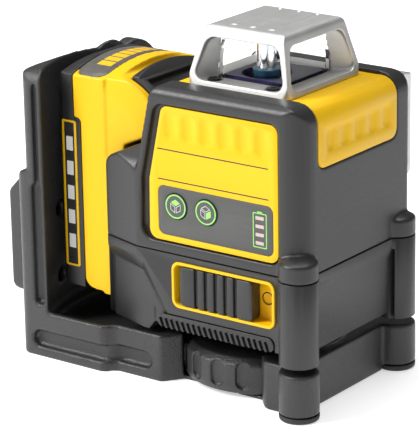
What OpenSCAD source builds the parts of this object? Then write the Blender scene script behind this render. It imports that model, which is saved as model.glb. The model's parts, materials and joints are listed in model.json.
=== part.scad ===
// Compact self-levelling line laser on a magnetic pivot bracket, with a slide-in battery pack.
// The origin is on the pivot axis at floor level; +Z is up, -Y faces the user, +X is away from the wall side.

/* [Bracket] */
// Height of the bracket foot
foot_h = 20; // [19:0.5:20.5]
// Front edge of the bracket, measured from the pivot
bracket_front = 39.3; // [39:0.1:42]
// Rear edge of the bracket, measured from the pivot
bracket_rear = 42; // [39:0.5:44]
// Height of the bracket wall
wall_top = 123.5; // [118:0.5:128]
// Distance from the pivot to the outer face of the lower wall
wall_x = 98.2; // [97:0.1:100]
// Radius of the hollow in the wall that lets the head swing round
swing_r = 91.3; // [91:0.1:93]
// Distance from the pivot to the outer face of the magnet housing
magnet_x = 109.5; // [107:0.5:112]

/* [Knob] */
// Outer radius of the adjusting knob
knob_r = 33.6; // [33:0.1:34]
// Top of the knob rim
knob_top = 16.8; // [15:0.2:17]
// Number of finger dimples round the knob
dimples = 18; // [12:1:20]

/* [Head] */
// Half the depth of the head
head_y = 37.3; // [36.8:0.1:37.6]
// Right-hand face of the head, measured from the pivot
head_x = 44; // [43.5:0.1:44.5]
// Underside of the head
head_z = 26; // [25.9:0.1:26.4]
// Height of the split between the lower and upper housings
split_z = 57.5; // [57:0.5:58]
// Top face of the head, under the cage
deck_z = 124; // [123.5:0.1:124.2]
// Radius of the four corner columns
column_r = 7.9; // [7:0.1:8]

/* [Cages] */
// Height of the cast cages over the faces they stand on
cage_h = 24; // [23:0.1:24.4]
// Height of the centre of the rear cage
rear_z = 97; // [96:0.5:98]

/* [Lock] */
// Travel of the power and lock slider
slider_travel = 9; // [7:0.5:9]

/* [Battery] */
// Half the width of the battery pack
pack_y = 26.5; // [26:0.1:26.6]
// Underside of the battery pack
pack_z = 30; // [29.5:0.1:30.5]
// Radius of one cell
cell_r = 9; // [8.8:0.1:9]
// Length of one cell
cell_l = 65; // [60:1:65]

/* [Gimbal] */
// Height of the gimbal pins
gimbal_z = 72; // [71:0.5:72]
// Offset of the optics from the pivot axis, towards the right
optics_x = 2.6; // [2.4:0.1:3]
// Radius of the laser tubes
tube_r = 5.2; // [4.6:0.2:5.2]

/* [Threads] */
// Minor radius of the 5/8 inch tripod thread
large_thread_r = 6.75; // [6.6:0.05:6.9]
// Minor radius of the 1/4 inch tripod thread
small_thread_r = 2.55; // [2.5:0.05:2.7]

/* [Hidden] */
$fn = 64;

fit = 0.05;             // running clearance of a shaft in its hole
gap = 0.3;              // clearance between parts that move past each other
wall = 2.4;             // wall of the moulded housings
over = 1;               // how far a cutter runs past the face it cuts
arc_steps = 6;          // straight pieces in one rounded corner

charcoal = "#4a4a48";
black = "#222224";
yellow = "#fccb14";
silver = "#c9cacc";
steel = "#9a9da1";
brass = "#b89a4e";
green = "#9ccf63";

// ---- outlines and extrusions ----

function unit(v) = v / norm(v);
function short_turn(a) = a > 180 ? a - 360 : a < -180 ? a + 360 : a;
function flat(p) = [p.x, p.y];

// The arc that rounds corner p, between its neighbours a and b, to radius r
function corner_arc(a, p, b, r) =
    let (u = unit(a - p), v = unit(b - p), half = acos(u * v) / 2,
         centre = p + unit(u + v) * r / sin(half),
         first = p + u * r / tan(half) - centre,
         last = p + v * r / tan(half) - centre,
         start = atan2(first.y, first.x),
         turn = short_turn(atan2(last.y, last.x) - start))
    r == 0 ? [p] : [for (i = [0:arc_steps])
        centre + r * [cos(start + turn * i / arc_steps), sin(start + turn * i / arc_steps)]];

// A closed outline from corners given as [x, y, radius]
function soften(corners) = let (n = len(corners)) [for (i = [0:n - 1])
    each corner_arc(flat(corners[(i + n - 1) % n]), flat(corners[i]), flat(corners[(i + 1) % n]), corners[i].z)];

function box_corners(low, high, r) = [[low.x, low.y, r], [high.x, low.y, r], [high.x, high.y, r], [low.x, high.y, r]];

module outline(corners) polygon(soften(corners));

module rounded_box(low, high, r) outline(box_corners(low, high, r));

// Drawn in X and Y, extruded from z0 to z1
module along_z(z0, z1) translate([0, 0, z0]) linear_extrude(z1 - z0) children();

// Drawn in X and Z, extruded from y0 to y1
module along_y(y0, y1) translate([0, y1, 0]) rotate([90, 0, 0]) linear_extrude(y1 - y0) children();

// Drawn in Y and Z, extruded from x0 to x1
module along_x(x0, x1) translate([x0, 0, 0]) rotate([90, 0, 90]) linear_extrude(x1 - x0) children();

module block(low, high) translate(low) cube(high - low);

module rod_z(x, y, z0, z1, r) translate([x, y, z0]) cylinder(h = z1 - z0, r = r);

module rod_y(x, z, y0, y1, r) translate([x, y1, z]) rotate([90, 0, 0]) cylinder(h = y1 - y0, r = r);

module rod_x(y, z, x0, x1, r) translate([x0, y, z]) rotate([0, 90, 0]) cylinder(h = x1 - x0, r = r);

// The children and their mirror image in the plane y = 0
module both_sides() {
    children();
    mirror([0, 1, 0]) children();
}

// A screw pointing down, with the top of its round head at the origin and a cross recess
module screw(head_r, head_h, stem_r, length) {
    difference() {
        translate([0, 0, -head_h]) cylinder(h = head_h, r = head_r);
        for (turn = [0, 90]) rotate([0, 0, turn]) block([-head_r * 0.6, -0.3, -head_h * 0.6], [head_r * 0.6, 0.3, over]);
    }
    translate([0, 0, -length]) cylinder(h = length - head_h + 0.01, r = stem_r);
}

// ---- bracket ----

hub_r = 12;
hub_top = 17.8;
floor_t = 1.5;
well_r = 34.3;
cap_h = 2.4;
foot_corner = [41.3, 35];
foot_corner_r = 8.1;
bush_h = 12;
large_bush_r = 9.5;
small_bush = [-60, 0];
small_bush_r = 4.5;
magnet_spots = [for (y = [-11, 14], z = [36, 55]) [y, z]];
magnet_r = 8;
wall_screw_spots = [for (y = [-22, 25], z = [31, 60]) [y, z]];
cover_low = [-90, -31];
cover_high = [-46, 31];
cover_screw_spots = [for (x = [-86, -50], y = [-27, 27]) [x, y]];
hanger_low = [-12, 93];
hanger_high = [13, 116];
hanger_y = 0.5;
hanger_z = 100;
slot_top = 110;

module foot_plan() outline([
    [-wall_x, -bracket_front, 5], [-54.2, -bracket_front, 4], [-49.9, -34.8, 4], [-27.2, -34.8, 1.5],
    [-21.2, -26.7, 0], [18.5, -28.2, 0], [24, -34.6, 4], [40, -34.6, 0],
    [40, 34.6, 0], [24, 34.6, 4], [18.5, 28.2, 0], [-21.2, 26.7, 0],
    [-27.2, 34.8, 1.5], [-48.4, 34.8, 4], [-54.2, bracket_rear, 4], [-wall_x, bracket_rear, 5]]);

// Plan left standing behind the finger groove
module groove_floor_plan() outline([[-110, -36.4, 0], [-53, -36.4, 4], [-48.7, -31.9, 4], [-20, -31.9, 0],
    [-20, 0, 0], [-110, 0, 0]]);

// Side view of the wall: thicker below, with a sloped step to the thinner top
module wall_side() outline([
    [-wall_x, 0, 0], [-wall_x, 77, 2], [-94, 81.5, 2], [-94, wall_top + 1.5, 6], [-76, wall_top + 1.5, 3], [-76, 0, 0]]);

// End view of the wall, with two grip bumps behind the middle of the top
module wall_end() {
    outline([[-bracket_front, 0, 0], [-bracket_front, wall_top, 6], [-10, wall_top + 1, 4], [8, wall_top - 1, 4],
        [bracket_rear, 116.5, 7], [bracket_rear, 0, 0]]);
    translate([17, wall_top - 8.2]) circle(r = 9);
    translate([30, wall_top - 9.6]) circle(r = 8.5);
}

// Plan of the thinner upper part of the wall
module wall_plan(x) outline([[-x, -bracket_front, 5], [0, -bracket_front, 0], [0, bracket_rear, 0], [-x, bracket_rear, 5]]);

module bracket_frame() color(charcoal) difference() {
    union() {
        along_z(0, foot_h) foot_plan();
        for (side = [-1, 1]) rod_z(foot_corner.x, side * foot_corner.y, cap_h, foot_h + 1, foot_corner_r);
        intersection() {
            along_y(-bracket_front, bracket_rear) wall_side();
            along_x(-wall_x, 0) wall_end();
            union() {
                along_z(0, 80) wall_plan(wall_x);
                along_z(79, wall_top + 5) wall_plan(94);
            }
        }
    }
    difference() {
        rod_z(0, 0, foot_h, 140, swing_r);
        rod_z(0, 0, foot_h - over, 141, 20);
    }
    difference() {
        rod_z(0, 0, floor_t, foot_h + over, well_r);
        rod_z(0, 0, 0, hub_top, hub_r);
    }
    intersection() {
        rod_z(0, 0, 15, foot_h + over, swing_r - 1);
        along_z(15, foot_h + over) outline([[-100, -36.3, 0], [-55, -36.3, 3], [-51, -32, 3], [-37, -32, 0],
            [-37, 32, 0], [-51, 32, 3], [-55, 38.8, 3], [-100, 38.8, 0]]);
    }
    block([-120, -bracket_front - over, 19.4], [-76, 0.5 - bracket_front, foot_h]);
    for (side = [-1, 1]) along_z(-over, cap_h + gap / 2)
        translate([foot_corner.x, side * foot_corner.y]) circle(r = foot_corner_r + fit);
    finger_groove();
    wall_grooves();
    rod_z(0, 0, -over, bush_h + 3, large_bush_r + fit);
    rod_z(0, 0, 0, foot_h, 5 + fit);
    rod_z(small_bush.x, small_bush.y, -over, bush_h + fit, small_bush_r + fit);
    magnet_screw_holes();
    hanger_recess();
    cover_recess();
}

// The long groove in the front and rear edges of the foot
module finger_groove() both_sides() difference() {
    along_y(-bracket_front - 4, -31) rounded_box([-91, 4.3], [-32, 11.5], 3.5);
    along_z(0, foot_h) groove_floor_plan();
}

// Vertical grooves in the front and rear ends of the wall
module wall_grooves() both_sides() {
    along_y(-bracket_rear - over, 3 - bracket_front) rounded_box([-89.4, 23], [-84, 76], 2.6);
    along_y(-bracket_rear - over, 2.6 - bracket_front) rounded_box([-87.6, 70], [-84.8, 118], 1.3);
}

module magnet_screw_holes() for (spot = wall_screw_spots) {
    rod_x(spot.x, spot.y, -wall_x - over, -80, 1.6);
    rod_x(spot.x, spot.y, -93.6, -80, 3.2);
}

module hanger_recess() {
    along_x(-94 - over, -92.8) rounded_box(hanger_low - [fit, fit], hanger_high + [fit, fit], 2);
    along_x(-96, -80) rounded_box([hanger_y - 5.6, hanger_z - 5.6], [hanger_y + 5.6, slot_top + 3], 5.5);
}

module cover_recess() {
    along_z(-over, 2) rounded_box(cover_low - [fit, fit], cover_high + [fit, fit], 3);
    difference() {
        along_z(1.9, 11) rounded_box(cover_low + [2, 2], cover_high - [2, 2], 3);
        rod_z(small_bush.x, small_bush.y, 0, 12, 8);
        for (spot = cover_screw_spots) rod_z(spot.x, spot.y, 0, 12, 4);
        for (x = [-76, -68]) block([x - 0.8, -30, 0], [x + 0.8, 30, 12]);
    }
    for (spot = cover_screw_spots) rod_z(spot.x, spot.y, 0, 9, 1.3);
}

module magnet_housing() color(charcoal) difference() {
    intersection() {
        along_y(-30, 33) outline([[-wall_x - fit, 23, 0], [-magnet_x, 24, 3], [-magnet_x, 67, 3],
            [-wall_x - fit, 79, 0]]);
        along_x(-magnet_x, -90) rounded_box([-30, 20], [33, 90], 4);
    }
    for (spot = magnet_spots) rod_x(spot.x, spot.y, -magnet_x - over, -102.8, magnet_r + fit);
    for (spot = wall_screw_spots) rod_x(spot.x, spot.y, -105, -90, 1.4);
    along_x(-magnet_x - over, -magnet_x + 1.2) rounded_box([-27, 27], [30, 64], 3);
}

module wall_magnets() color(steel) for (spot = magnet_spots)
    rod_x(spot.x, spot.y, -magnet_x + 1.25, -102.9, magnet_r);

module magnet_cover() color(black)
    along_x(-magnet_x, -magnet_x + 1.2 - fit) rounded_box([-26.9, 27.1], [29.9, 63.9], 3);

module hanger_plate() color(steel) difference() {
    along_x(-94, -92.9) rounded_box(hanger_low, hanger_high, 2);
    rod_x(hanger_y, hanger_z, -95, -90, 5);
    along_x(-95, -90) rounded_box([hanger_y - 2.3, hanger_z], [hanger_y + 2.3, slot_top], 2.2);
}

module bracket_screws() color(steel) for (spot = wall_screw_spots)
    translate([-91.5, spot.x, spot.y]) rotate([0, 90, 0]) screw(3, 2, 1.3, 12);

module base_cover() color(charcoal) difference() {
    along_z(0, 1.9) rounded_box(cover_low, cover_high, 3);
    rod_z(small_bush.x, small_bush.y, -over, 3, 8.3);
    for (spot = cover_screw_spots) {
        rod_z(spot.x, spot.y, -over, 1, 3.1);
        rod_z(spot.x, spot.y, -over, 3, 1.5);
    }
}

module base_cover_screws() color(steel) for (spot = cover_screw_spots)
    translate([spot.x, spot.y, 0.2]) mirror([0, 0, 1]) screw(2.8, 0.7, 1.2, 7);

module foot_caps() color(black) for (side = [-1, 1]) translate([foot_corner.x, side * foot_corner.y]) rotate_extrude()
    outline([[0, 0, 0], [foot_corner_r, 0, 1.2], [foot_corner_r, cap_h, 0.3], [0, cap_h, 0]]);

module tripod_bush_large() color(brass) difference() {
    rod_z(0, 0, 0, bush_h, large_bush_r);
    rod_z(0, 0, -over, bush_h + over, large_thread_r);
}

module tripod_bush_small() color(brass) difference() {
    rod_z(small_bush.x, small_bush.y, 0, bush_h - 0.2, small_bush_r);
    rod_z(small_bush.x, small_bush.y, -over, bush_h + over, small_thread_r);
}

// ---- pivot and knob ----

spindle_r = 5;
spindle_top = 34.5;
washer_z = 19.6;
table_z = 20.9;
spring_z = 28.6;

module pivot_spindle() color(steel) {
    rod_z(0, 0, bush_h + 0.1, bush_h + 2.9, large_bush_r - 0.1);
    rod_z(0, 0, bush_h, spindle_top, spindle_r);
}

// The dished washer stack that presses the turntable down
module disc_spring() color(steel) translate([0, 0, spring_z]) difference() {
    rotate_extrude() polygon([[spindle_r + fit, 1.2], [11, 0], [11, 0.8], [spindle_r + fit, 2]]);
}

module spindle_nut() color(steel) difference() {
    rod_z(0, 0, spring_z + 2.05, spring_z + 5.6, 8);
    rod_z(0, 0, 0, 50, spindle_r + fit);
    for (turn = [0:60:300]) rotate([0, 0, turn]) block([7, -10, 0], [12, 10, 60]);
}

// Oval finger dimple at the rim, on the +X side
module dimple() along_x(knob_r - 1.5, knob_r + 2) {
    translate([0, 7]) circle(r = 3);
    translate([0, 12]) circle(r = 3);
    square_between([-3, 7], [3, 12]);
}

module square_between(low, high) translate(low) square(high - low);

module adjust_knob() color(charcoal) difference() {
    rotate_extrude($fn = 128) outline([[hub_r + fit, floor_t + gap, 0], [knob_r - 1, floor_t + gap, 1],
        [knob_r, 5, 1], [knob_r, knob_top - 2.6, 1.5], [knob_r - 3.4, knob_top, 1.5], [20, knob_top, 1],
        [20, washer_z, 0.6], [hub_r + fit, washer_z, 0]]);
    for (i = [0:dimples - 1]) rotate([0, 0, (i + 0.5) * 360 / dimples]) dimple();
    rotate_extrude() polygon([[17, 0], [30, 0], [30, 13], [17, 13]]);
}

module clutch_washer() color(brass) difference() {
    rod_z(0, 0, washer_z + 0.02, table_z - gap, 18);
    rod_z(0, 0, 0, 30, 12.5);
}

// ---- head: turntable and housings ----

table_r = 27;
table_screw_spots = [for (a = [45:90:315]) 21 * [cos(a), sin(a)]];
column = [41.3, 35];
shoulder_front = 31.2;
dock_x = -56.8;
housing_screw_spots = [for (x = [-30, 38], y = [-31, 31]) [x, y]];
pocket_y = pack_y + 0.4;
pocket_x = -50;
belly_z = 22.2;
inner_x = head_x - wall;
inner_y = head_y - 4.6;
lock_x = [-14, 21.2];
bezel_low = [-18.3, 35.4];
bezel_high = [31.8, 54.8];
strip_low = [-26, 25.6];
strip_high = [31, 31.4];

module turntable() color(black) difference() {
    union() {
        rod_z(0, 0, table_z, head_z - fit, table_r);
        rod_z(0, 0, table_z, head_z + 2.2, 12.4);
    }
    rod_z(0, 0, 0, 40, spindle_r + fit + 0.03);
    for (spot = table_screw_spots) rod_z(spot.x, spot.y, 0, 40, 1.3);
    rotate_extrude() polygon([[10, table_z - over], [19, table_z - over], [19, table_z + 0.4], [10, table_z + 0.4]]);
}

module turntable_screws() color(steel) for (spot = table_screw_spots)
    translate([spot.x, spot.y, head_z + wall + 1.6]) screw(2.8, 1.5, 1.25, 7.5);

// Plan of the head: flat front and rear, with the dock shoulder tapering towards the wall
module head_plan() outline([
    [dock_x, -shoulder_front, 3.4], [-36.1, -head_y, 4], [head_x, -head_y, 9.5], [head_x, head_y, 3.5],
    [-36.1, head_y, 4], [dock_x, shoulder_front, 3.4]]);

module columns(z0, z1) for (side = [-1, 1]) rod_z(column.x, side * column.y, z0, z1, column_r);

module column_dome(side) translate([column.x, side * column.y, 64]) intersection() {
    translate([0, 0, -12]) sphere(r = 15);
    cylinder(h = 4, r = column_r);
}

module battery_pocket(z0, z1) block([-60, -pocket_y, z0], [pocket_x, pocket_y, z1]);

module lower_housing() color(charcoal) difference() {
    union() {
        intersection() {
            along_z(head_z, split_z - 0.15) head_plan();
            along_y(-50, 50) outline([[dock_x, head_z, 0], [50, head_z, 0], [50, 70, 0], [dock_x, 70, 0]]);
        }
        dock_belly();
        columns(foot_h + 3, split_z - 0.15);
    }
    difference() {
        along_z(head_z + wall, split_z + over) rounded_box([-47.6, -inner_y], [inner_x, inner_y], 4);
        block([-60, -50, 0], [-33, -29, 90]);
        block([-60, 29, 0], [-33, 50, 90]);
        for (spot = housing_screw_spots) rod_z(spot.x, spot.y, 0, 90, 4);
        for (side = [-1, 1]) rod_z(column.x, side * column.y, 0, 90, column_r);
    }
    battery_pocket(28.6, 90);
    rod_z(0, 0, 0, 40, 12.6);
    for (spot = table_screw_spots) rod_z(spot.x, spot.y, 0, head_z + 10, 1.5);
    for (spot = housing_screw_spots) {
        rod_z(spot.x, spot.y, 0, 90, 1.6);
        rod_z(spot.x, spot.y, 0, head_z + 6, 3.2);
    }
    both_sides() scoops();
    side_panel_recess();
    along_y(-head_y - over, -inner_y + over) rounded_box(bezel_low - [0.1, 0.1], bezel_high + [0.1, 0.1], 3.6);
    along_y(-head_y - over, -head_y + 2.2) rounded_box(strip_low - [0.5, 3], strip_high + [0.5, 0.5], 3);
}

// Deeper floor under the dock, just clear of the bracket foot
module dock_belly() intersection() {
    along_z(belly_z, head_z + 1) head_plan();
    along_y(-50, 50) outline([[dock_x, belly_z, 2.5], [-33, belly_z, 0], [-29, head_z + 1, 0], [dock_x, head_z + 1, 0]]);
}

// Hollowed lower corners beside the dock, with sloped edges
module scoops() {
    hull() {
        along_y(-head_y - 2, -head_y) polygon([[-36.1, 53.5], [-33, 53.5], [-20.5, 31], [-24, 20], [-36.1, 20]]);
        along_y(-head_y, -head_y + 3) polygon([[-36.1, 47.5], [-36, 47.5], [-27, 30], [-28, 20], [-36.1, 20]]);
    }
    translate([-36.1, -head_y, 0]) rotate([0, 0, -18.1]) hull() {
        along_y(-2, 0) polygon([[-22, 53.5], [1, 53.5], [1, 20], [-22, 20]]);
        along_y(0, 3) polygon([[-22, 47.5], [1, 47.5], [1, 20], [-22, 20]]);
    }
}

// Shallow panel in the right-hand face between the corner columns
module side_panel_recess() hull() {
    along_x(head_x, head_x + over) square_between([-30, 20], [30, 53]);
    along_x(head_x - 1.2, head_x + over) square_between([-27, 20], [27, 49.5]);
}

panel_corners = [[-29.6, 62.5, 4], [33.1, 62.5, 4], [33.1, 118, 3.5], [-22.5, 118, 3.5], [-29.2, 87.3, 3]];
panel_recess = [[-33.6, 61.8, 6], [33.7, 61.8, 4.4], [33.7, 118.6, 4], [-26.2, 118.6, 5], [-33, 87.3, 3]];
keypad_low = [-25, 65];
keypad_high = [30.7, 85.3];
button_spots = [[-16.1, 77.6], [-1.3, 77.6]];
button_r = 5.15;
gauge_spots = [for (i = [0:3]) [24.4, 69.6 + i * 3.4]];
panel_front = head_y - 0.7;
panel_back = head_y - 3.1;
saddle_y = [-24.8, 30.7];
saddle_z = 99.6;
saddle_corner_r = 4;
bumper = 1.5;
rim_t = 2.6;
rim_w = 5.6;
tube_hole_r = 10.1;
rear_x = 10.6;
top_centre = [4.3, 2.6];
rear_centre_x = 10.9;
shoulder_top = [90.2, 102.3];

// Front view of the upper housing, with the slanted edge on the dock side
module upper_front(top, shoulder_r) outline([[-36.1, split_z + 0.15, 0], [head_x, split_z + 0.15, 0],
    [head_x, top, shoulder_r], [-27.6, top, 5], [-36.1, 87.3, 3]]);

// Front view of the yellow saddle that wraps the top and the right-hand side
module saddle_front(inset, low, left) outline([[left, deck_z - inset, 0], [head_x - inset, deck_z - inset, 7 - inset],
    [head_x - inset, low, 0], [head_x + 20, low, 0], [head_x + 20, deck_z + 20, 0], [left, deck_z + 20, 0]]);

// Side view of the saddle, grown outwards by a distance, with its lower corners rounded
module saddle_side(grow) rounded_box([saddle_y[0] - grow, saddle_z - grow], [saddle_y[1] + grow, 160],
    saddle_corner_r + grow);

// Raised rim along the top and the right-hand edge of the rear face, around the rear cage
module rear_rim() difference() {
    intersection() {
        along_z(split_z + 0.15, deck_z + bumper) rounded_box([-60, 20], [head_x, head_y + rim_t], 1.2);
        along_y(20, 50) upper_front(deck_z + bumper, 8.5);
        along_x(-60, 60) outline([[20, 50, 0], [head_y + rim_t, 50, 0], [head_y + rim_t, deck_z + bumper, 3],
            [20, deck_z + bumper, 0]]);
    }
    along_y(head_y, 50) rounded_box([-90, 0], [head_x - rim_w, rear_z + rear_base.y + 0.4], 3);
}

module dock_shoulder() intersection() {
    along_z(split_z + 0.15, 110) head_plan();
    along_y(-50, 50) outline([[dock_x, split_z, 0], [-30, split_z, 0], [-30, shoulder_top[1], 0],
        [dock_x, shoulder_top[0], 9]]);
    along_x(-60, -20) outline([[-head_y, 50, 0], [head_y, 50, 0], [head_y, 91, 9], [24, 102, 7], [-24, 102, 7],
        [-head_y, 91, 9]]);
}

module upper_housing() color(charcoal) difference() {
    union() {
        intersection() {
            along_z(split_z + 0.15, deck_z + bumper) head_plan();
            along_y(-50, 50) upper_front(deck_z + bumper, 8.5);
            along_x(-60, 60) outline([[-head_y, 50, 0], [head_y, 50, 0], [head_y, deck_z + bumper, 4],
                [-head_y, deck_z + bumper, 4]]);
        }
        rear_rim();
        dock_shoulder();
        columns(split_z + 0.15, 64);
        for (side = [-1, 1]) column_dome(side);
    }
    housing_hollow();
    battery_pocket(0, 130);
    intersection() {
        along_y(saddle_y[0] - 0.15, saddle_y[1] + 0.15) saddle_front(2.6, saddle_z - 0.15, -60);
        along_x(-60, 70) saddle_side(0.15);
    }
    along_y(-head_y - over, -panel_back) outline(panel_recess);
    for (spot = button_spots) rod_y(spot.x, spot.y, -50, -30, button_r + 0.4);
    for (spot = gauge_spots) rod_y(spot.x, spot.y, -50, -30, 1.2);
    rod_z(optics_x, 0, 100, 130, tube_hole_r);
    rod_y(rear_x, rear_z, 20, 60, tube_hole_r);
    for (spot = housing_screw_spots) rod_z(spot.x, spot.y, 0, split_z + 10, 1.3);
    on_deck() cage_screw_holes();
    on_rear() cage_screw_holes();
    side_lines();
}

module housing_hollow() difference() {
    intersection() {
        along_y(-inner_y, inner_y) outline([[-33.2, split_z, 0], [inner_x, split_z, 0], [inner_x, 97, 0],
            [inner_x - 2.6, 99, 0], [inner_x - 2.6, deck_z - 5, 4], [-26, deck_z - 5, 3], [-33.2, 87, 0]]);
        along_z(0, 200) rounded_box([-40, -inner_y], [inner_x, inner_y], 6);
    }
    for (spot = housing_screw_spots) rod_z(spot.x, spot.y, 0, split_z + 14, 4);
    on_deck() for (spot = cage_screw_spots) rod_z(spot.x, spot.y, -11, 6, 3);
}

// Two fine lines on the right-hand face
module side_lines() for (z = [77, 89])
    block([head_x - 0.4, -18, z], [head_x + over, 29, z + 0.5]);

module housing_screws() color(steel) for (spot = housing_screw_spots)
    translate([spot.x, spot.y, head_z + 3.6]) mirror([0, 0, 1]) screw(3, 2.4, 1.25, 36);

// Upright rod with round ends, for cutting a shallow flute in a face beside it
module scallop(r, z0, z1) {
    translate([0, 0, z0]) cylinder(h = z1 - z0, r = r);
    translate([0, 0, z0]) sphere(r = r);
    translate([0, 0, z1]) sphere(r = r);
}

module front_panel() color(yellow) difference() {
    along_y(-panel_front, -panel_back - 0.02) outline(panel_corners);
    for (i = [0:5]) translate([-18.4 + i * 8.8, -panel_front - 7.1, 0]) scallop(7.9, 107.6, 112.4);
    for (z = [87.6, 100]) block([-25, -panel_front - over, z], [28.6, -panel_front + 0.3, z + 0.5]);
    along_y(-panel_front - over, -panel_front + 1.3) rounded_box(keypad_low - [0.1, 0.1], keypad_high + [0.1, 0.1], 3);
    for (spot = button_spots) rod_y(spot.x, spot.y, -50, -30, button_r + 0.4);
    for (spot = gauge_spots) rod_y(spot.x, spot.y, -50, -30, 1.2);
}

module keypad_plate() color(charcoal) difference() {
    along_y(-panel_front, -panel_front + 1.2) rounded_box(keypad_low, keypad_high, 3);
    for (spot = button_spots) rod_y(spot.x, spot.y, -50, -30, button_r + 0.3);
    for (spot = gauge_spots) gauge_bar(spot, 0.05);
}

module gauge_bar(spot, grow) block([spot.x - 2 - grow, -40, spot.y - 0.7 - grow], [spot.x + 2 + grow, -30, spot.y + 0.7 + grow]);

module gauge_lights() color("#c9b0a8") for (spot = gauge_spots) intersection() {
    gauge_bar(spot, 0);
    block([0, -panel_front - 0.1, 0], [50, -panel_front + 1.2, 200]);
}

module top_saddle() color(yellow) difference() {
    intersection() {
        along_y(saddle_y[0], saddle_y[1]) outline([[-25.5, deck_z, 0], [head_x, deck_z, 7], [head_x, saddle_z, 0],
            [head_x - 2.5, saddle_z, 0], [head_x - 2.5, deck_z - 2.5, 4.5], [-26, deck_z - 2.5, 0]]);
        along_x(-60, 70) saddle_side(0);
    }
    along_z(0, 200) rounded_box(top_centre - [17.2, 17.2], top_centre + [17.2, 17.2], 3);
    on_deck() for (spot = cage_screw_spots) rod_z(spot.x, spot.y, -14, 6, 1.5);
    for (i = [0:4]) translate([head_x + 4.4, -16.6 + i * 9.9, 0]) scallop(5.2, 107.6, 112);
}

module grille_strip() color(charcoal) difference() {
    along_y(-head_y - 0.3, -head_y + 2.1) rounded_box(strip_low, strip_high, 2.8);
    for (i = [0:19]) translate([strip_low.x + 3 + i * 2.72, 0, strip_low.y])
        rotate([0, -22, 0]) block([-0.75, -head_y - over, -2], [0.75, -head_y + 1, 4.4]);
}

module switch_bezel() color(yellow) difference() {
    along_y(-head_y - 0.6, -head_y + 7) rounded_box(bezel_low, bezel_high, 3.5);
    along_y(-head_y - over, -head_y + 5.4) rounded_box(bezel_low + [1.2, 1.2], bezel_high - [1.2, 1.2], 2.6);
    along_y(-head_y, -head_y + 8) square_between([lock_x[0] + 6, 41], [lock_x[0] + 18 + slider_travel, 49]);
    rod_y(24.6, 45.6, -head_y + 5, -head_y + 5.8, 2.2);
}

// ---- cages ----

cage_base = [24.9, 25.7];
cage_slab = [19.2, 20.6];
rear_base = [25.5, 25.7];
rear_slab = [20.9, 20.6];
rear_h = cage_h + 0.6;
bore_low = [16.8, 17.2];
bore_high = [14.6, 14.2];
roof_t = 3.4;
pane_t = 1.2;
plate_top = 2.9;
rear_lift = 1.5;
cage_screw_spots = [for (x = [-14, 14], y = [-20.8, 21.2]) [x, y]];

// Frame of a cage standing on z = 0: a tapered cap, hollow inside, with a flared opening in each side
module cage_body(base, slab, h) {
    difference() {
        cage_taper(base, slab, 0, h, 3);
        cage_taper(bore_low, bore_high, -over, h - roof_t, 1.5);
        intersection() {
            along_y(-50, 50) cage_window(base.x - 3, slab.x - 2.2, h);
            along_z(0, h) hourglass([23.4, 26.5], [14, 14.6]);
        }
        intersection() {
            along_x(-50, 50) cage_window(base.y - 3, slab.y - 2.2, h);
            along_z(0, h) rotate(90) hourglass([24.2, 26], [14.6, 14]);
        }
        for (spot = cage_screw_spots) {
            rod_z(spot.x, spot.y, -over, 10, 1.6);
            rod_z(spot.x, spot.y, 1.4, 12, 3);
        }
        for (x = [-9, 0, 9]) along_y(-12, 18) outline([[x - 0.9, h + 1, 0], [x - 0.9, h - 0.2, 0], [x - 0.2, h - 0.6, 0],
            [x + 0.2, h - 0.6, 0], [x + 0.9, h - 0.2, 0], [x + 0.9, h + 1, 0]]);
    }
    for (x = [-9, 0, 9]) translate([x, -14, h - 1]) intersection() {
        sphere(r = 1.9);
        cylinder(h = 1.4, r = 2);
    }
}

// Outline of a cage opening, from half-width low at its sill to half-width high under the roof
module cage_window(low, high, h) outline([[-low, 2.4, 3.5], [low, 2.4, 3.5], [high, h - 4.4, 5], [-high, h - 4.4, 5]]);

// Plan that narrows from half-size wide at the outside to half-size narrow in the middle
module hourglass(wide, narrow) polygon([[-wide.x, -wide.y], [wide.x, -wide.y], [narrow.x, -narrow.y],
    [narrow.x, narrow.y], [wide.x, wide.y], [-wide.x, wide.y], [-narrow.x, narrow.y], [-narrow.x, -narrow.y]]);

// A block with its sides leaning in, from half-size low at z0 to half-size high at z1
module cage_taper(low, high, z0, z1, r) intersection() {
    along_y(-60, 60) outline([[-low.x, z0, 0], [low.x, z0, 0], [high.x, z1, r], [-high.x, z1, r]]);
    along_x(-60, 60) outline([[-low.y, z0, 0], [low.y, z0, 0], [high.y, z1, r], [-high.y, z1, r]]);
    along_z(z0 - over, z1 + over) rounded_box(-low, low, 4);
}

module on_deck() translate([top_centre.x, top_centre.y, deck_z + 0.02]) children();

// Stood on the rear face, with its front edge turned up
module on_rear() translate([rear_centre_x, head_y + 0.02, rear_z]) rotate([-90, 0, 0]) children();

module cage_screw_set() for (spot = cage_screw_spots) translate([spot.x, spot.y, 3]) screw(2.6, 1.5, 1.25, 8);

module cage_screw_holes() for (spot = cage_screw_spots) rod_z(spot.x, spot.y, -10, 3, 1.3);

// The four clear panes, from z0 up to the roof
module pane_set(z0, h) intersection() {
    difference() {
        cage_taper(bore_low - [0.15, 0.15], bore_high - [0.15, 0.15], 0, h - roof_t, 1.5);
        cage_taper(bore_low - [0.15 + pane_t, 0.15 + pane_t], bore_high - [0.15 + pane_t, 0.15 + pane_t],
            -over, h - roof_t + over, 0);
    }
    block([-30, -30, z0], [30, 30, h - roof_t - 0.3]);
}

// Dark plate on the floor of a cage, with a round opening for the lens at the given spot
module floor_plate(lens) difference() {
    union() {
        along_z(-1.4, 0.6) rounded_box([-16.2, -16.2], [16.2, 16.2], 4);
        along_z(0.5, plate_top) rounded_box([-14.6, -13.9], [14.6, 13.9], 2);
    }
    translate([lens.x, lens.y, 0]) cylinder(h = 20, r = tube_hole_r - 0.1, center = true);
}

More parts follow.
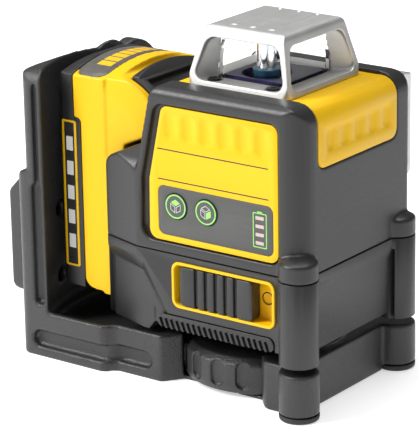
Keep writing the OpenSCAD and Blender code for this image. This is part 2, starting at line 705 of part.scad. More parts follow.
module top_cage() color(silver) on_deck() cage_body(cage_base, cage_slab, cage_h);
module top_cage_screws() color(black) on_deck() cage_screw_set();
module top_windows() color("#dfe8ec", 0.4) on_deck() pane_set(0.7, cage_h);
module top_floor_plate() color(black) on_deck() floor_plate([optics_x, 0] - top_centre);

// The rear face has no saddle, so its floor plate stands clear of the housing
module rear_cage() color(silver) on_rear() cage_body(rear_base, rear_slab, rear_h);
module rear_cage_screws() color(black) on_rear() cage_screw_set();
module rear_windows() color("#dfe8ec", 0.4) on_rear() pane_set(0.7 + rear_lift, rear_h);
module rear_floor_plate() color(black) on_rear() translate([0, 0, rear_lift]) floor_plate([rear_x - rear_centre_x, 0]);

// ---- electronics and dock ----

blade_spots = [-8, 0, 8];

// The insulated strip on the floor of the battery pocket that holds the blades
module terminal_block() color(black) difference() {
    block([-54.4, -13.8, 28.65], [pocket_x - 0.2, 13.8, 29.6]);
    for (y = blade_spots) block([-53.3, y - 0.5, 28], [-51.3, y + 0.5, 30]);
}

module dock_terminals() color(brass) for (y = blade_spots)
    block([-53.2, y - 0.4, 28.65], [-51.4, y + 0.4, 36.5]);

module main_board() color("#2f6b3c") difference() {
    block([-25.6, -30, 62], [33.6, -28.4, 112]);
    for (x = [-23, 31], z = [65, 109]) rod_y(x, z, -35, -25, 1.3);
}

module button_switches() color(black) for (spot = button_spots) {
    block([spot.x - 3, -31.5, spot.y - 3], [spot.x + 3, -30.02, spot.y + 3]);
}

frame_x = 24;
ring_r = 20;

module gimbal_frame() color(steel) difference() {
    union() {
        along_z(60, 63) difference() {
            rounded_box([optics_x - 30, -24], [optics_x + 30, 24], 3);
            rounded_box([optics_x - 21, -20], [optics_x + 21, 20], 3);
        }
        for (side = [-1, 1]) along_x(optics_x + side * frame_x - 1.5, optics_x + side * frame_x + 1.5)
            outline([[-9, 61, 0], [9, 61, 0], [4, gimbal_z + 6, 3], [-4, gimbal_z + 6, 3]]);
    }
    rod_x(0, gimbal_z, -40, 50, 1.5 + fit);
    for (x = [-27, 27], y = [-19, 19]) rod_z(optics_x + x, y, 50, 70, 1.3);
}

module gimbal_frame_screws() color(black) for (x = [-27, 27], y = [-19, 19])
    translate([optics_x + x, y, 64.7]) screw(2.2, 1.6, 1.2, 9);

// ---- lock ----

module lock_slider() color(charcoal) difference() {
    union() {
        along_y(-head_y - 0.9, -head_y + 5) rounded_box([lock_x[0], 37], [lock_x[1], 53.2], 1.6);
        block([lock_x[0] + 6.6, -head_y + 4.9, 42], [lock_x[0] + 17.4, -head_y + 9.5, 48]);
    }
    for (i = [0:4]) block([lock_x[0] + 7 + i * 4.8, -head_y - 2, 36], [lock_x[0] + 8.6 + i * 4.8, -head_y + 0.6, 54]);
}

module lock_plunger() color(black) {
    rod_z(optics_x, 0, 37, 44, 5);
    block([optics_x - 3, -25, 37], [optics_x + 3, -3, 39.4]);
    block([optics_x - 3, -25, 37], [optics_x + 3, -23, 46]);
}

// ---- buttons ----

module key_cap(spot) {
    rod_y(spot.x, spot.y, -panel_front - 0.5, -panel_back + 0.6, button_r);
    rod_y(spot.x, spot.y, -panel_back, -32.4, 2);
}

module button_vertical() color(green) key_cap(button_spots[0]);
module button_horizontal() color(green) key_cap(button_spots[1]);

// ---- gimbal and pendulum ----

module gimbal_ring() color(steel) {
    difference() {
        rod_z(optics_x, 0, gimbal_z - 2.5, gimbal_z + 2.5, ring_r);
        rod_z(optics_x, 0, gimbal_z - 5, gimbal_z + 5, ring_r - 4);
        rod_y(optics_x, gimbal_z, -30, 30, 1.2 + fit);
    }
    rod_x(0, gimbal_z, optics_x + ring_r - 2, optics_x + frame_x + 1.4, 1.5);
    rod_x(0, gimbal_z, optics_x - frame_x - 1.4, optics_x - ring_r + 2, 1.5);
}

module pendulum_body() color(silver) {
    block([optics_x - 9, -10, 62], [optics_x + 9, 10, 88]);
    rod_y(optics_x, gimbal_z, -ring_r + 0.2, ring_r - 0.2, 1.2);
    difference() {
        block([optics_x - 8.5, -8.5, 88], [rear_x + 7.5, 8.5, 112]);
        rod_z(optics_x, 0, 105, 120, tube_r + 0.03);
        rod_y(rear_x, rear_z, 3, 20, tube_r + 0.03);
    }
    rod_z(optics_x, 0, 55, 62.1, 4);
}

module pendulum_weight() color(brass) difference() {
    rod_z(optics_x, 0, 46, 61.9, 13);
    rod_z(optics_x, 0, 54.9, 70, 4.05);
}

// Height of the lens seats over the faces the cages stand on
lens_base = 2.5;

// Vertical tube under the top window and horizontal tube behind it
module laser_tubes() color(black) {
    rod_z(optics_x, 0, 106.2, deck_z + lens_base, tube_r);
    rod_y(rear_x, rear_z, 6.2, head_y + rear_lift + lens_base, tube_r);
}

module cone_prism(h) difference() {
    union() {
        cylinder(h = 2, r = 4.2);
        translate([0, 0, 1.9]) cylinder(h = h - 1.9, r = 3.9);
    }
    translate([0, 0, h - 4]) cylinder(h = 4.2, r1 = 0.2, r2 = 3.2);
}

module lens_ring() difference() {
    cylinder(h = 2.4, r = 5.6);
    translate([0, 0, 0.6]) cylinder(h = 4, r = 4.25);
}

module cone_prisms() color("#b9c4d6") {
    at_top_tube(0.7) cone_prism(15.6);
    at_rear_tube(0.7) cone_prism(13);
}

module lens_rings() color("#3a6f9c") {
    at_top_tube(0.05) lens_ring();
    at_rear_tube(0.05) lens_ring();
}

module at_top_tube(lift) translate([optics_x, 0, deck_z + lens_base + lift]) children();

module at_rear_tube(lift) translate([rear_x, head_y + rear_lift + lens_base + lift, rear_z])
    rotate([-90, 0, 0]) children();

// ---- battery ----

pack_left = -86;
pack_split = -76;
pack_right = -50.4;
label_low = [-82.2, 38.4];
label_high = [-74.4, 101.3];
label_edge = -72.4;
crown_top = 125.6;
crown_r = 75;
pad_r = 18;
nose_centre = [-58.2, 94.8];
nose_r = 28;
latch_x = -50;
cell_spots = [[-74.2, -13], [-74.2, 13], [-61.2, 0]];
cell_z = 39;

// Front view of the yellow cover: a ridge on top and a nose that reaches over the dock shoulder
module cover_front() intersection() {
    outline([[label_edge + 0.05, pack_z, 5], [-63.4, pack_z, 0], [-62.2, 28.7, 1], [-57.6, 28.7, 1],
        [-57.2, pack_z, 0], [pack_right, pack_z, 1], [pack_right, 94.6, 0], [-34.6, 101.7, 1], [-31.6, 115.6, 0],
        [-31.6, 126, 0], [pack_split + 0.05, 126, 0], [pack_split + 0.05, 102.6, 1.5],
        [label_edge + 0.05, 102.6, 1.5]]);
    union() {
        square_between([-90, 20], [-54, 130]);
        translate(nose_centre) circle(r = nose_r, $fn = 128);
        square_between([-60, 20], [-30, 105]);
    }
}

// Plan of the pack, grown outwards by a distance
module pack_plan(grow) outline([[pack_left - grow, -pack_y - grow, 6 + grow], [0, -pack_y - grow, 0],
    [0, pack_y + grow, 0], [pack_left - grow, pack_y + grow, 6 + grow]]);

// End view of the pack, lowered by a distance: the top rises in the middle
module crown(drop) intersection() {
    square_between([-pack_y - 1, 10], [pack_y + 1, 130]);
    translate([0, crown_top - crown_r - drop]) circle(r = crown_r, $fn = 256);
}

// Strips beside the dock where the front and rear faces of the cover fall away
module cover_fold() both_sides() {
    along_z(20, 88) polygon([[-59.6, -27], [-58.6, -26.2], [-57.4, -25], [-56.6, -23.4], [-56.6, -22.8],
        [-40, -22.8], [-40, -27]]);
    along_z(87.9, 140) polygon([[-59.8, -27], [-59.8, -26.5], [-58.6, -25.9], [-30, -25.9], [-30, -27]]);
    intersection() {
        translate([-61, -25.9, 97]) rotate([-90, 0, 0]) rotate_extrude()
            polygon([[pad_r, 0], [44, 3.4], [44, -2], [pad_r, -2]]);
        block([-59.5, -30, 87.9], [-20, 0, 140]);
    }
}

module battery_case() color(black) difference() {
    intersection() {
        along_z(27, 125) pack_plan(0);
        along_y(-40, 40) outline([[pack_left, pack_z, 7], [label_edge, pack_z, 0], [label_edge, 102.5, 1.5],
            [pack_split, 102.5, 1.5], [pack_split, 126, 0], [-80.4, 125.2, 4], [pack_left, 110.5, 7]]);
        along_x(-90, -30) crown(0);
    }
    block([pack_left + 2.2, -24, cell_z - 6], [0, 24, 106]);
}

module battery_cover() color(yellow) difference() {
    intersection() {
        along_z(20, 130) pack_plan(0);
        along_y(-pack_y, pack_y) cover_front();
        along_x(-90, -30) crown(0);
    }
    cover_fold();
    block([-80, -24, cell_z - 6], [-54.8, 24, 106]);
    rod_z(cell_spots[2].x, cell_spots[2].y, cell_z - 1, cell_z + cell_l + 1, cell_r + 0.1);
    along_y(-20.6, 20.6) outline([[latch_x, 104, 1], [-25, 104, 0], [-25, 130, 0], [latch_x, 130, 0]]);
    for (y = blade_spots) block([-54.4, y - 1.3, 20], [-49, y + 1.3, 37]);
    battery_rail_grooves();
    difference() {
        along_z(110, 130) inlay_plan(0.05);
        along_x(-90, -30) crown(1.55);
    }
}

module battery_rail_grooves() both_sides() block([-53, 17.4, 20], [-49, 22.6, 86]);

// Plan of the dark inlay, grown outwards by a distance
module inlay_plan(grow) rounded_box([-75.6 - grow, -25.4 - grow], [-60.6 + grow, 25.4 + grow], 5);

module battery_inlay() color(charcoal) intersection() {
    along_z(110, 130) inlay_plan(0);
    along_x(-90, -30) difference() {
        crown(0.05);
        crown(1.5);
    }
}

module battery_label() color(black) intersection() {
    along_z(20, 120) difference() {
        pack_plan(0.35);
        pack_plan(0.02);
    }
    along_y(-40, 0) rounded_box(label_low, label_high, 1.2);
}

module battery_cells() color("#3f7fb8") for (spot = cell_spots) {
    rod_z(spot.x, spot.y, cell_z, cell_z + cell_l - 1, cell_r);
    rod_z(spot.x, spot.y, cell_z + cell_l - 1.1, cell_z + cell_l, 3);
}

module battery_contacts() color(brass) for (y = blade_spots, side = [-1, 1])
    block([-54.2, y + side - 0.2, 31], [-51.2, y + side + 0.2, 36.8]);

module battery_latch() color(charcoal) difference() {
    intersection() {
        along_y(-20.2, 20.2) outline([[latch_x + 0.35, 108.5, 1], [-37, 108.5, 1], [-35.4, 111.5, 2], [-38.6, 116.4, 3],
            [-45.6, 121.6, 2], [latch_x + 0.35, 126, 0]]);
        along_x(-60, -30) crown(0.5);
    }
    along_y(-16.5, 16.5) outline([[-45.4, 118.2, 1], [-41.6, 115.6, 1], [-37.6, 128, 0], [-41.4, 130, 0]]);
}

module latch_springs() color(steel) for (side = [-1, 1]) translate([-46.4, side * 12, 104.05]) difference() {
    cylinder(h = 4.4, r = 3);
    translate([0, 0, -over]) cylinder(h = 8, r = 2.2);
}

bracket_frame();
magnet_housing();
wall_magnets();
magnet_cover();
hanger_plate();
bracket_screws();
base_cover();
base_cover_screws();
foot_caps();
tripod_bush_large();
tripod_bush_small();
pivot_spindle();
disc_spring();
spindle_nut();
adjust_knob();
clutch_washer();
turntable();
turntable_screws();
lower_housing();
upper_housing();
housing_screws();
front_panel();
keypad_plate();
gauge_lights();
top_saddle();
switch_bezel();
grille_strip();
top_cage();
top_cage_screws();
top_windows();
top_floor_plate();
rear_cage();
rear_cage_screws();
rear_windows();
rear_floor_plate();
terminal_block();
dock_terminals();
main_board();
button_switches();
gimbal_frame();
gimbal_frame_screws();
lock_slider();
lock_plunger();
button_vertical();
button_horizontal();
gimbal_ring();
pendulum_body();
pendulum_weight();
laser_tubes();
cone_prisms();
lens_rings();
battery_case();
battery_cover();
battery_inlay();
battery_label();
battery_cells();
battery_contacts();
battery_latch();
latch_springs();
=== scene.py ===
"""Looks for the compact line laser on its pivot bracket.

Rounded shells, printed details, materials, light and camera.
"""

import json
import math

import bmesh
import bpy
from mathutils import Matrix, Vector


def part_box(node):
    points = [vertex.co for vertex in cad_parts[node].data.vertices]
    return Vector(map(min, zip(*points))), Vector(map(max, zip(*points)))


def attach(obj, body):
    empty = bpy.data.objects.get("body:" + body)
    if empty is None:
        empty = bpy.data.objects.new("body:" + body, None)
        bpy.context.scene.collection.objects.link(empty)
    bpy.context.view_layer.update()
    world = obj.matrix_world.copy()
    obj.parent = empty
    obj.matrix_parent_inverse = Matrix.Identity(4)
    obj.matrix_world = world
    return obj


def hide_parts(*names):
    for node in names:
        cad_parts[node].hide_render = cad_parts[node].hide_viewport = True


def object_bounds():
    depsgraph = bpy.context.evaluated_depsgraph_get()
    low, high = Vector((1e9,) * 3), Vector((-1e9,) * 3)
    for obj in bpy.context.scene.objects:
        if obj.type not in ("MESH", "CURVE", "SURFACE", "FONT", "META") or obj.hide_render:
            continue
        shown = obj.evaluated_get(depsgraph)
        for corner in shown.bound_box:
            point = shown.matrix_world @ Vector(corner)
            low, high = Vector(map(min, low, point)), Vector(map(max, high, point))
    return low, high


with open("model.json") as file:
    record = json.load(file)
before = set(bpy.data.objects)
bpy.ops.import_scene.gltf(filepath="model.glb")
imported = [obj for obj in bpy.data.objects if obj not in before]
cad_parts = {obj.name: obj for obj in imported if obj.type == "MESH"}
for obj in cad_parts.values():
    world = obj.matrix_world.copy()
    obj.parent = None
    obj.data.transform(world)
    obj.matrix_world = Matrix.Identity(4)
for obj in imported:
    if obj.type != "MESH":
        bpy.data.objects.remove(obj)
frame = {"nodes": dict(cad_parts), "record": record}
cad_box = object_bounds()

MM = 0.001

# ---- materials ----

YELLOW = (0.81, 0.475, 0.005)
CHARCOAL = (0.018, 0.018, 0.0182)
BRACKET = (0.020, 0.020, 0.0202)
BLACK = (0.014, 0.014, 0.015)
PRINT_GREEN = (0.28, 0.74, 0.13)


class Shader:
    """A new node material with short ways to add and join nodes."""

    def __init__(self, name):
        self.material = bpy.data.materials.new(name)
        self.material.use_nodes = True
        self.tree = self.material.node_tree
        self.bsdf = self.tree.nodes["Principled BSDF"]
        self.place = self.node("ShaderNodeTexCoord").outputs["Object"]

    def node(self, kind, **values):
        made = self.tree.nodes.new(kind)
        for key, value in values.items():
            socket = made.inputs.get(key)
            if socket is None:
                setattr(made, key, value)
            elif isinstance(value, bpy.types.NodeSocket):
                self.tree.links.new(value, socket)
            else:
                socket.default_value = value
        return made

    def join(self, output, socket):
        self.tree.links.new(output, socket)

    def noise(self, scale, detail=3.0, roughness=0.5):
        """Noise with features about 1 / scale metres across."""
        made = self.node("ShaderNodeTexNoise", Vector=self.place, Scale=scale, Detail=detail)
        made.inputs["Roughness"].default_value = roughness
        return made.outputs["Fac"]

    def between(self, value, low, high, source=(0.3, 0.7)):
        """The value moved from the source range to the range from low to high."""
        made = self.node("ShaderNodeMapRange", Value=value)
        made.inputs["From Min"].default_value = source[0]
        made.inputs["From Max"].default_value = source[1]
        made.inputs["To Min"].default_value = low
        made.inputs["To Max"].default_value = high
        return made.outputs["Result"]

    def mix(self, factor, first, second):
        """A colour between first and second; each is a colour or an output."""
        made = self.tree.nodes.new("ShaderNodeMix")
        made.data_type = "RGBA"
        sockets = (made.inputs[0], made.inputs[6], made.inputs[7])
        for socket, value in zip(sockets, (factor, first, second)):
            if isinstance(value, bpy.types.NodeSocket):
                self.join(value, socket)
            elif isinstance(value, (tuple, list)):
                socket.default_value = (*value, 1)
            else:
                socket.default_value = value
        return made.outputs[2]

    def bump(self, height, distance, strength=1.0, normal=None):
        made = self.node("ShaderNodeBump", Height=height, Distance=distance, Strength=strength)
        if normal is not None:
            self.join(normal, made.inputs["Normal"])
        return made.outputs["Normal"]

    def soft_edges(self, radius):
        made = self.node("ShaderNodeBevel", samples=4)
        made.inputs["Radius"].default_value = radius
        return made.outputs["Normal"]

    def calculated(self, operation, first, second):
        """The result of a Math node; each input is a number or an output."""
        made = self.tree.nodes.new("ShaderNodeMath")
        made.operation = operation
        for socket, value in zip(made.inputs, (first, second)):
            if isinstance(value, bpy.types.NodeSocket):
                self.join(value, socket)
            else:
                socket.default_value = value
        return made.outputs[0]

    def place_in_mm(self, first, second):
        """Two of the object coordinates X, Y and Z, in millimetres."""
        split = self.node("ShaderNodeSeparateXYZ", Vector=self.place)
        per_mm = 1 / MM
        return [self.calculated("MULTIPLY", split.outputs[a], per_mm) for a in (first, second)]

    def box_mask(self, across, up, low, high):
        """One inside the rectangle from low to high, in millimetres."""
        inside = self.calculated("GREATER_THAN", across, low[0])
        for operation, value, limit in (
            ("LESS_THAN", across, high[0]),
            ("GREATER_THAN", up, low[1]),
            ("LESS_THAN", up, high[1]),
        ):
            inside = self.calculated("MULTIPLY", inside, self.calculated(operation, value, limit))
        return inside

    def row_of_boxes(self, across, up, corners):
        """One inside any of the rectangles, each given by its low and high corner."""
        printed = None
        for low, high in corners:
            block = self.box_mask(across, up, low, high)
            printed = block if printed is None else self.calculated("MAXIMUM", printed, block)
        return printed

    def set(self, **values):
        for key, value in values.items():
            self.bsdf.inputs[key.replace("_", " ")].default_value = value


def shade(colour, factor):
    """The colour made lighter or darker by a factor."""
    return tuple(min(1.0, c * factor) for c in colour)


def in_mm(box):
    """The low and high corner of a box, in millimetres."""
    return tuple(Vector(corner) / MM for corner in box)


def plastic(name, colour, roughness, grain, depth, spread=0.06, edge=0.35 * MM, shine=0.5):
    """Moulded plastic: an eroded grain, slow colour drift and edges rounded slightly in the
    shading.
    """
    s = Shader(name)
    drift = s.noise(55, 4)
    fine = s.noise(grain, 2)
    colours = s.mix(s.between(drift, 0, 1), shade(colour, 1 - spread), shade(colour, 1 + spread))
    specks = s.mix(s.between(fine, 0, 1, (0.35, 0.75)), colours, shade(colour, 1 + 2.5 * spread))
    s.join(specks, s.bsdf.inputs["Base Color"])
    worn = s.between(s.noise(grain * 0.35, 3), roughness - 0.06, roughness + 0.06)
    s.join(worn, s.bsdf.inputs["Roughness"])
    s.join(s.bump(fine, depth, 0.8, s.soft_edges(edge)), s.bsdf.inputs["Normal"])
    s.set(Specular_IOR_Level=shine, IOR=1.5)
    return s.material


def metal(name, colour, roughness, grain, depth, edge=0.25 * MM):
    """Bare metal with a fine cast or turned surface."""
    s = Shader(name)
    fine = s.noise(grain, 4, 0.6)
    cloud = s.noise(70, 3)
    tones = s.mix(s.between(cloud, 0, 1), shade(colour, 0.93), shade(colour, 1.04))
    s.join(tones, s.bsdf.inputs["Base Color"])
    s.join(s.between(fine, roughness - 0.08, roughness + 0.08), s.bsdf.inputs["Roughness"])
    s.join(s.bump(fine, depth, 0.7, s.soft_edges(edge)), s.bsdf.inputs["Normal"])
    s.set(Metallic=1.0)
    return s.material


def clear_glass():
    s = Shader("window_glass")
    s.join(s.between(s.noise(180, 3), 0.01, 0.05), s.bsdf.inputs["Roughness"])
    tint = s.mix(s.between(s.noise(40, 2), 0, 1), (0.97, 0.985, 0.98), (1, 1, 1))
    s.join(tint, s.bsdf.inputs["Base Color"])
    s.set(Transmission_Weight=1.0, IOR=1.12)
    return s.material


def filter_plate():
    s = Shader("filter_plate")
    cloud = s.between(s.noise(30, 2), 0, 1)
    colours = s.mix(cloud, (0.006, 0.005, 0.012), (0.05, 0.035, 0.16))
    s.join(colours, s.bsdf.inputs["Base Color"])
    s.join(s.between(s.noise(400, 3), 0.06, 0.14), s.bsdf.inputs["Roughness"])
    s.set(Coat_Weight=0.6, Coat_Roughness=0.04, IOR=1.6)
    return s.material


def prism_coating():
    s = Shader("prism_coating")
    bands = s.node("ShaderNodeTexWave", Vector=s.place, Scale=220, Distortion=3.0)
    colours = s.mix(bands.outputs["Fac"], (0.95, 0.93, 0.9), (0.62, 0.68, 0.8))
    s.join(colours, s.bsdf.inputs["Base Color"])
    s.join(s.between(s.noise(500, 3), 0.03, 0.12), s.bsdf.inputs["Roughness"])
    s.set(Metallic=1.0)
    return s.material


def lens_coating():
    s = Shader("lens_coating")
    facing = s.node("ShaderNodeLayerWeight", Blend=0.4).outputs["Facing"]
    s.join(s.mix(facing, (0.02, 0.16, 0.34), (0.25, 0.62, 0.8)), s.bsdf.inputs["Base Color"])
    s.join(s.between(s.noise(500, 2), 0.05, 0.12), s.bsdf.inputs["Roughness"])
    s.set(Metallic=0.55, Coat_Weight=0.8, Coat_Roughness=0.03)
    return s.material


def inlay_print():
    """Dark badge with a row of plain yellow blocks."""
    count, first, pitch, length, half_width = 7, -16.4, 4.7, 3.9, 3.6
    s = Shader("inlay_print")
    low, high = in_mm(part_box("battery_inlay"))
    across, along = s.place_in_mm("X", "Y")
    middle = (low.x + high.x) / 2 + 0.9
    starts = [first + step * pitch for step in range(count)]
    corners = [((middle - half_width, y), (middle + half_width, y + length)) for y in starts]
    printed = s.row_of_boxes(across, along, corners)
    cloud = s.between(s.noise(300, 3), 0, 1)
    drift = s.mix(cloud, (0.085, 0.080, 0.070), (0.115, 0.108, 0.095))
    s.join(s.mix(printed, drift, YELLOW), s.bsdf.inputs["Base Color"])
    s.join(s.between(s.noise(500, 3), 0.34, 0.46), s.bsdf.inputs["Roughness"])
    grain = s.bump(s.noise(2400, 2), 0.02 * MM, 0.6, s.soft_edges(0.2 * MM))
    s.join(grain, s.bsdf.inputs["Normal"])
    return s.material


def label_film():
    """Dark printed film with a yellow rim and a column of plain pale blocks."""
    count, first, pitch, length, half_width = 5, 8, 10.5, 6.0, 1.7
    s = Shader("label_film")
    low, high = in_mm(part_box("battery_label"))
    across, up = s.place_in_mm("X", "Z")
    rim = s.box_mask(across, up, (low.x + 1.5, low.z + 0.9), (high.x - 1.1, high.z - 0.9))
    middle = (low.x + high.x) / 2 + 0.3
    bases = [low.z + first + step * pitch for step in range(count)]
    corners = [((middle - half_width, z), (middle + half_width, z + length)) for z in bases]
    printed = s.row_of_boxes(across, up, corners)
    body = s.mix(printed, (0.018, 0.018, 0.019), (0.72, 0.72, 0.70))
    colours = s.mix(rim, YELLOW, body)
    s.join(colours, s.bsdf.inputs["Base Color"])
    s.join(s.between(s.noise(300, 3), 0.26, 0.38), s.bsdf.inputs["Roughness"])
    return s.material


PLASTICS = {
    # colour, roughness, grains per metre, grain depth in millimetres,
    # then what differs from the usual spread and shine
    "bracket_plastic": (BRACKET, 0.36, 1700, 0.32, {"spread": 0.16, "shine": 0.55}),
    "head_plastic": (CHARCOAL, 0.40, 3000, 0.03, {}),
    "black_plastic": (BLACK, 0.42, 2600, 0.03, {}),
    "yellow_plastic": (YELLOW, 0.40, 2400, 0.012, {"spread": 0.025, "shine": 0.25}),
    "rubber": ((0.022, 0.022, 0.022), 0.62, 1600, 0.05, {}),
    "key_plastic": ((0.070, 0.071, 0.068), 0.55, 3200, 0.02, {}),
    "light_pipe": ((0.50, 0.40, 0.37), 0.35, 2600, 0.01, {}),
    "circuit_board": ((0.03, 0.14, 0.06), 0.35, 900, 0.02, {}),
    "cell_wrap": ((0.08, 0.24, 0.48), 0.30, 700, 0.01, {}),
}
METALS = {
    # colour, roughness, grains per metre, grain depth in millimetres
    "cast_aluminium": ((0.62, 0.62, 0.61), 0.52, 1500, 0.05),
    "steel": ((0.56, 0.57, 0.58), 0.30, 1800, 0.01),
    "black_steel": ((0.03, 0.03, 0.032), 0.34, 1800, 0.01),
    "brass": ((0.72, 0.50, 0.20), 0.28, 1800, 0.01),
}
MATERIALS = {}
for slot_name, (colour, roughness, grain, depth, extra) in PLASTICS.items():
    MATERIALS[slot_name] = plastic(slot_name, colour, roughness, grain, depth * MM, **extra)
MATERIALS["label_film"] = label_film()
for slot_name, (colour, roughness, grain, depth) in METALS.items():
    MATERIALS[slot_name] = metal(slot_name, colour, roughness, grain, depth * MM)
MATERIALS["glass"] = clear_glass()
MATERIALS["dark_glass"] = filter_plate()
MATERIALS["prism_glass"] = prism_coating()
MATERIALS["lens_coating"] = lens_coating()
SLOTS = {entry["node"]: entry["material_slot"] for entry in frame["record"]["subparts"]}


def paint(piece, material):
    piece.data.materials.clear()
    piece.data.materials.append(material)


for name, cad_node in frame["nodes"].items():
    paint(cad_node, MATERIALS[SLOTS[name]])

BODIES = frame["record"]["behaviour"]["bodies"]
BODY_OF = {node: body for body, nodes in BODIES.items() for node in nodes}

# ---- softened shells ----

MERGE_WITHIN = 0.002 * MM
FLAT_WITHIN = math.radians(0.6)
SHARP_FROM = math.radians(35)


def placed(name, mesh):
    """A new object in the scene."""
    piece = bpy.data.objects.new(name, mesh)
    bpy.context.scene.collection.objects.link(piece)
    return piece


def stand_in(piece, node, material):
    """Puts the piece in the place of a CAD node, on its body and with its slot."""
    paint(piece, material)
    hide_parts(node)
    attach(piece, BODY_OF[node])


def moulded(node, voxel, rounds):
    """A copy of a CAD node with every edge melted round, as on a moulded or cast part."""
    piece = placed(node + "_soft", frame["nodes"][node].data.copy())
    remesh = piece.modifiers.new("remesh", "REMESH")
    remesh.mode = "VOXEL"
    remesh.voxel_size = voxel * MM
    remesh.use_smooth_shade = True
    smooth = piece.modifiers.new("smooth", "SMOOTH")
    smooth.factor = 0.5
    smooth.iterations = rounds
    stand_in(piece, node, MATERIALS[SLOTS[node]])


def cleaned(mesh):
    """A copy of a CAD mesh without split vertices or seams inside its flat faces."""
    mesh = mesh.copy()
    shell = bmesh.new()
    shell.from_mesh(mesh)
    bmesh.ops.remove_doubles(shell, verts=shell.verts, dist=MERGE_WITHIN)
    bmesh.ops.dissolve_limit(
        shell, angle_limit=FLAT_WITHIN, verts=shell.verts, edges=shell.edges
    )
    for face in shell.faces:
        face.smooth = True
    shell.to_mesh(mesh)
    shell.free()
    return mesh


def softened(node, width):
    """A copy of a CAD node with its outer and inner edges rounded over."""
    piece = placed(node + "_soft", cleaned(frame["nodes"][node].data))
    bevel = piece.modifiers.new("rounding", "BEVEL")
    bevel.width = width * MM
    bevel.segments = 2
    bevel.limit_method = "ANGLE"
    bevel.angle_limit = SHARP_FROM
    bevel.use_clamp_overlap = True
    bevel.harden_normals = True
    printed = node == "battery_inlay"
    stand_in(piece, node, inlay_print() if printed else MATERIALS[SLOTS[node]])


SHELLS = {
    # moulded: voxel size in millimetres and rounds of smoothing
    # softened: width of the rounding in millimetres
    "bracket_frame": (moulded, 0.75, 5),
    "magnet_housing": (moulded, 0.7, 4),
    "lower_housing": (softened, 0.7),
    "upper_housing": (moulded, 0.65, 3),
    "battery_cover": (moulded, 0.5, 7),
    "battery_case": (softened, 0.9),
    "battery_inlay": (softened, 0.3),
    "battery_latch": (softened, 0.5),
    "top_saddle": (softened, 0.35),
    "front_panel": (softened, 0.3),
    "keypad_plate": (softened, 0.2),
    "switch_bezel": (softened, 0.3),
    "lock_slider": (softened, 0.4),
    "adjust_knob": (moulded, 0.42, 3),
    "top_cage": (moulded, 0.36, 3),
    "rear_cage": (moulded, 0.42, 3),
    "grille_strip": (softened, 0.25),
}
for node, (shaping, *sizes) in SHELLS.items():
    shaping(node, *sizes)

# ---- printed marks ----

GREEN = plastic("green_print", PRINT_GREEN, 0.45, 2600, 0.005 * MM)
WHITE = plastic("pale_print", (0.60, 0.62, 0.60), 0.45, 2600, 0.005 * MM)
DARK = plastic("dark_print", (0.020, 0.018, 0.016), 0.5, 2600, 0.005 * MM)


def on_circle(middle, radius, angle):
    return (middle[0] + radius * math.cos(angle), middle[1] + radius * math.sin(angle))


def circle(middle, radius, count=48):
    return [on_circle(middle, radius, 2 * math.pi * i / count) for i in range(count)]


def rounded(low, high, radius, count=6):
    """The outline of a rectangle with round corners."""
    left, right = low[0] + radius, high[0] - radius
    bottom, top = low[1] + radius, high[1] - radius
    corners = ((right, top), (left, top), (left, bottom), (right, bottom))
    return [
        on_circle(middle, radius, math.pi / 2 * (quarter + i / count))
        for quarter, middle in enumerate(corners)
        for i in range(count + 1)
    ]


def mark(name, loops, y, material, body, height=0.05):
    """A thin raised print on a surface that faces -Y.

    The loops are (x, z) in millimetres and inner loops are holes. y is in metres.
    """
    curve = bpy.data.curves.new(name, "CURVE")
    curve.dimensions = "2D"
    curve.fill_mode = "BOTH"
    curve.extrude = height * MM / 2
    for loop in loops:
        spline = curve.splines.new("POLY")
        spline.points.add(len(loop) - 1)
        for point, (x, z) in zip(spline.points, loop):
            point.co = (x * MM, z * MM, 0, 1)
        spline.use_cyclic_u = True
    holder = bpy.data.objects.new(name + "_curve", curve)
    mesh = bpy.data.meshes.new_from_object(holder)
    bpy.data.objects.remove(holder)
    bpy.data.curves.remove(curve)
    mesh.transform(Matrix(((1, 0, 0, 0), (0, 0, -1, y), (0, 1, 0, 0), (0, 0, 0, 1))))
    piece = placed(name, mesh)
    paint(piece, material)
    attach(piece, body)


def shrunk(outline, factor):
    """The outline drawn in towards its own middle."""
    x = sum(point[0] for point in outline) / len(outline)
    z = sum(point[1] for point in outline) / len(outline)
    return [(x + factor * (point[0] - x), z + factor * (point[1] - z)) for point in outline]


def cube_icon(name, node, lit):
    """A ring with a small cube in it; the lit face tells the two keys apart."""
    ring_outer, ring_inner, size = 4.95, 4.4, 3.15
    face_outer, face_inner = 0.84, 0.66
    low, high = in_mm(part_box(node))
    middle = ((low.x + high.x) / 2, (low.z + high.z) / 2)
    y = low.y * MM
    body = BODY_OF[node]
    ring = [circle(middle, ring_outer), circle(middle, ring_inner)]
    mark(name + "_ring", ring, y, GREEN, body)
    # The cube's six corners, clockwise from its top
    corner = [on_circle(middle, size, math.radians(90 - 60 * i)) for i in range(6)]
    faces = {
        "top": (corner[5], corner[0], corner[1], middle),
        "right": (corner[1], corner[2], corner[3], middle),
        "left": (corner[3], corner[4], corner[5], middle),
    }
    for side, outline in faces.items():
        loops = [shrunk(outline, face_outer)]
        if side != lit:
            loops.append(shrunk(outline, face_inner))
        ink = GREEN if side == lit else WHITE
        mark(name + "_" + side, loops, y, ink, body)


def gauge_frame():
    """The green outline of a battery round the four charge bars."""
    low, high = in_mm(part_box("gauge_lights"))
    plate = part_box("keypad_plate")[0][1]
    outer = rounded((low.x - 1.3, low.z - 1.2), (high.x + 1.3, high.z + 1.4), 0.5)
    inner = rounded((low.x - 0.9, low.z - 0.8), (high.x + 0.9, high.z + 1.0), 0.3)
    mark("gauge_outline", [outer, inner], plate, GREEN, "head")
    middle = (low.x + high.x) / 2
    cap = rounded((middle - 1.2, high.z + 1.5), (middle + 1.2, high.z + 2.0), 0.15)
    mark("gauge_cap", [cap], plate, GREEN, "head")


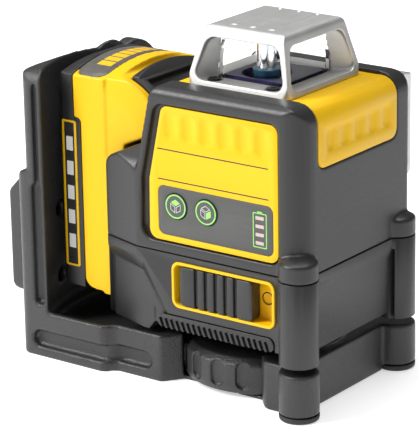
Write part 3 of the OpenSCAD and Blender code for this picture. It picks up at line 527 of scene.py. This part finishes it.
def panel_lines():
    """The dark rules above and below the empty field of the front panel."""
    thickness, corner, height = 0.46, 0.1, 0.2
    low, high = in_mm(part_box("front_panel"))
    y = (low.y + 0.2) * MM
    for name, z in (("rule_low", 87.62), ("rule_high", 100.02)):
        rule = rounded((low.x + 4.7, z), (high.x - 4.6, z + thickness), corner)
        mark(name, [rule], y, DARK, "head", height)


def lock_mark():
    """A plain ring on the bezel floor where the slider locks the pendulum."""
    outer, inner, up, depth = 2.7, 2.2, 45.6, 5.97
    low, high = in_mm(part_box("switch_bezel"))
    middle = (high.x - 7.2, up)
    ring = [circle(middle, outer), circle(middle, inner)]
    mark("lock_ring", ring, (low.y + depth) * MM, DARK, "head")


cube_icon("vertical_mark", "button_vertical", "top")
cube_icon("horizontal_mark", "button_horizontal", "right")
gauge_frame()
panel_lines()
lock_mark()

# ---- studio ----

FLOOR_REACH = 4.0
FLOOR_GLOW = 0.50
WORLD_LIGHT = 0.20
MIDDLE = (cad_box[0] + cad_box[1]) / 2
LIGHTS = {
    # place and size in metres, then power in watts
    "key": ((-0.80, -0.95, 0.95), (0.4, 0.9), 24),
    "fill": ((1.2, -0.2, 0.7), (0.8, 0.8), 0.6),
    "top": ((-0.10, 0.10, 1.35), (1.0, 0.8), 15),
}
AZIMUTH, ELEVATION, ROLL = (math.radians(a) for a in (36.73, 17.78, -1.0))
CAMERA_AT = Vector((0.58217, -0.81683, 0.38864))
LENS = 217.25


def paper_floor():
    sheet = bpy.data.meshes.new("floor")
    turns = ((-1, -1), (1, -1), (1, 1), (-1, 1))
    corners = [(FLOOR_REACH * x, FLOOR_REACH * y, 0) for x, y in turns]
    sheet.from_pydata(corners, [], [(0, 1, 2, 3)])
    floor_object = placed("floor", sheet)
    s = Shader("floor_paper")
    cloud = s.between(s.noise(2.5, 3), 0, 1)
    tones = s.mix(cloud, (0.86, 0.86, 0.86), (0.90, 0.90, 0.90))
    s.join(tones, s.bsdf.inputs["Base Color"])
    s.set(Roughness=0.9, Emission_Color=(1, 1, 1, 1), Emission_Strength=FLOOR_GLOW)
    paint(floor_object, s.material)


def white_world():
    world = bpy.data.worlds.new("studio")
    world.use_nodes = True
    background = world.node_tree.nodes["Background"]
    background.inputs["Color"].default_value = (1, 1, 1, 1)
    background.inputs["Strength"].default_value = WORLD_LIGHT
    bpy.context.scene.world = world


def softbox(name, location, size, power):
    """A rectangular area light that faces the middle of the object."""
    light = bpy.data.lights.new(name, "AREA")
    light.shape = "RECTANGLE"
    light.size, light.size_y = size
    light.energy = power
    lamp = placed(name, light)
    lamp.location = location
    facing = MIDDLE - Vector(location)
    lamp.rotation_euler = facing.to_track_quat("-Z", "Y").to_euler()


def camera():
    back = Vector(
        (
            math.sin(AZIMUTH) * math.cos(ELEVATION),
            -math.cos(AZIMUTH) * math.cos(ELEVATION),
            math.sin(ELEVATION),
        )
    )
    right = Vector((math.cos(AZIMUTH), math.sin(AZIMUTH), 0))
    up = back.cross(right)
    rolled_right = math.cos(ROLL) * right + math.sin(ROLL) * up
    rolled_up = math.cos(ROLL) * up - math.sin(ROLL) * right
    data = bpy.data.cameras.new("camera")
    data.lens = LENS
    data.clip_start, data.clip_end = 0.05, 20
    view = placed("camera", data)
    turn = Matrix((rolled_right, rolled_up, back)).transposed()
    view.matrix_world = Matrix.Translation(CAMERA_AT) @ turn.to_4x4()
    bpy.context.scene.camera = view


paper_floor()
white_world()
bpy.context.scene.view_settings.view_transform = "Standard"
for name, (location, size, power) in LIGHTS.items():
    softbox(name, location, size, power)
camera()
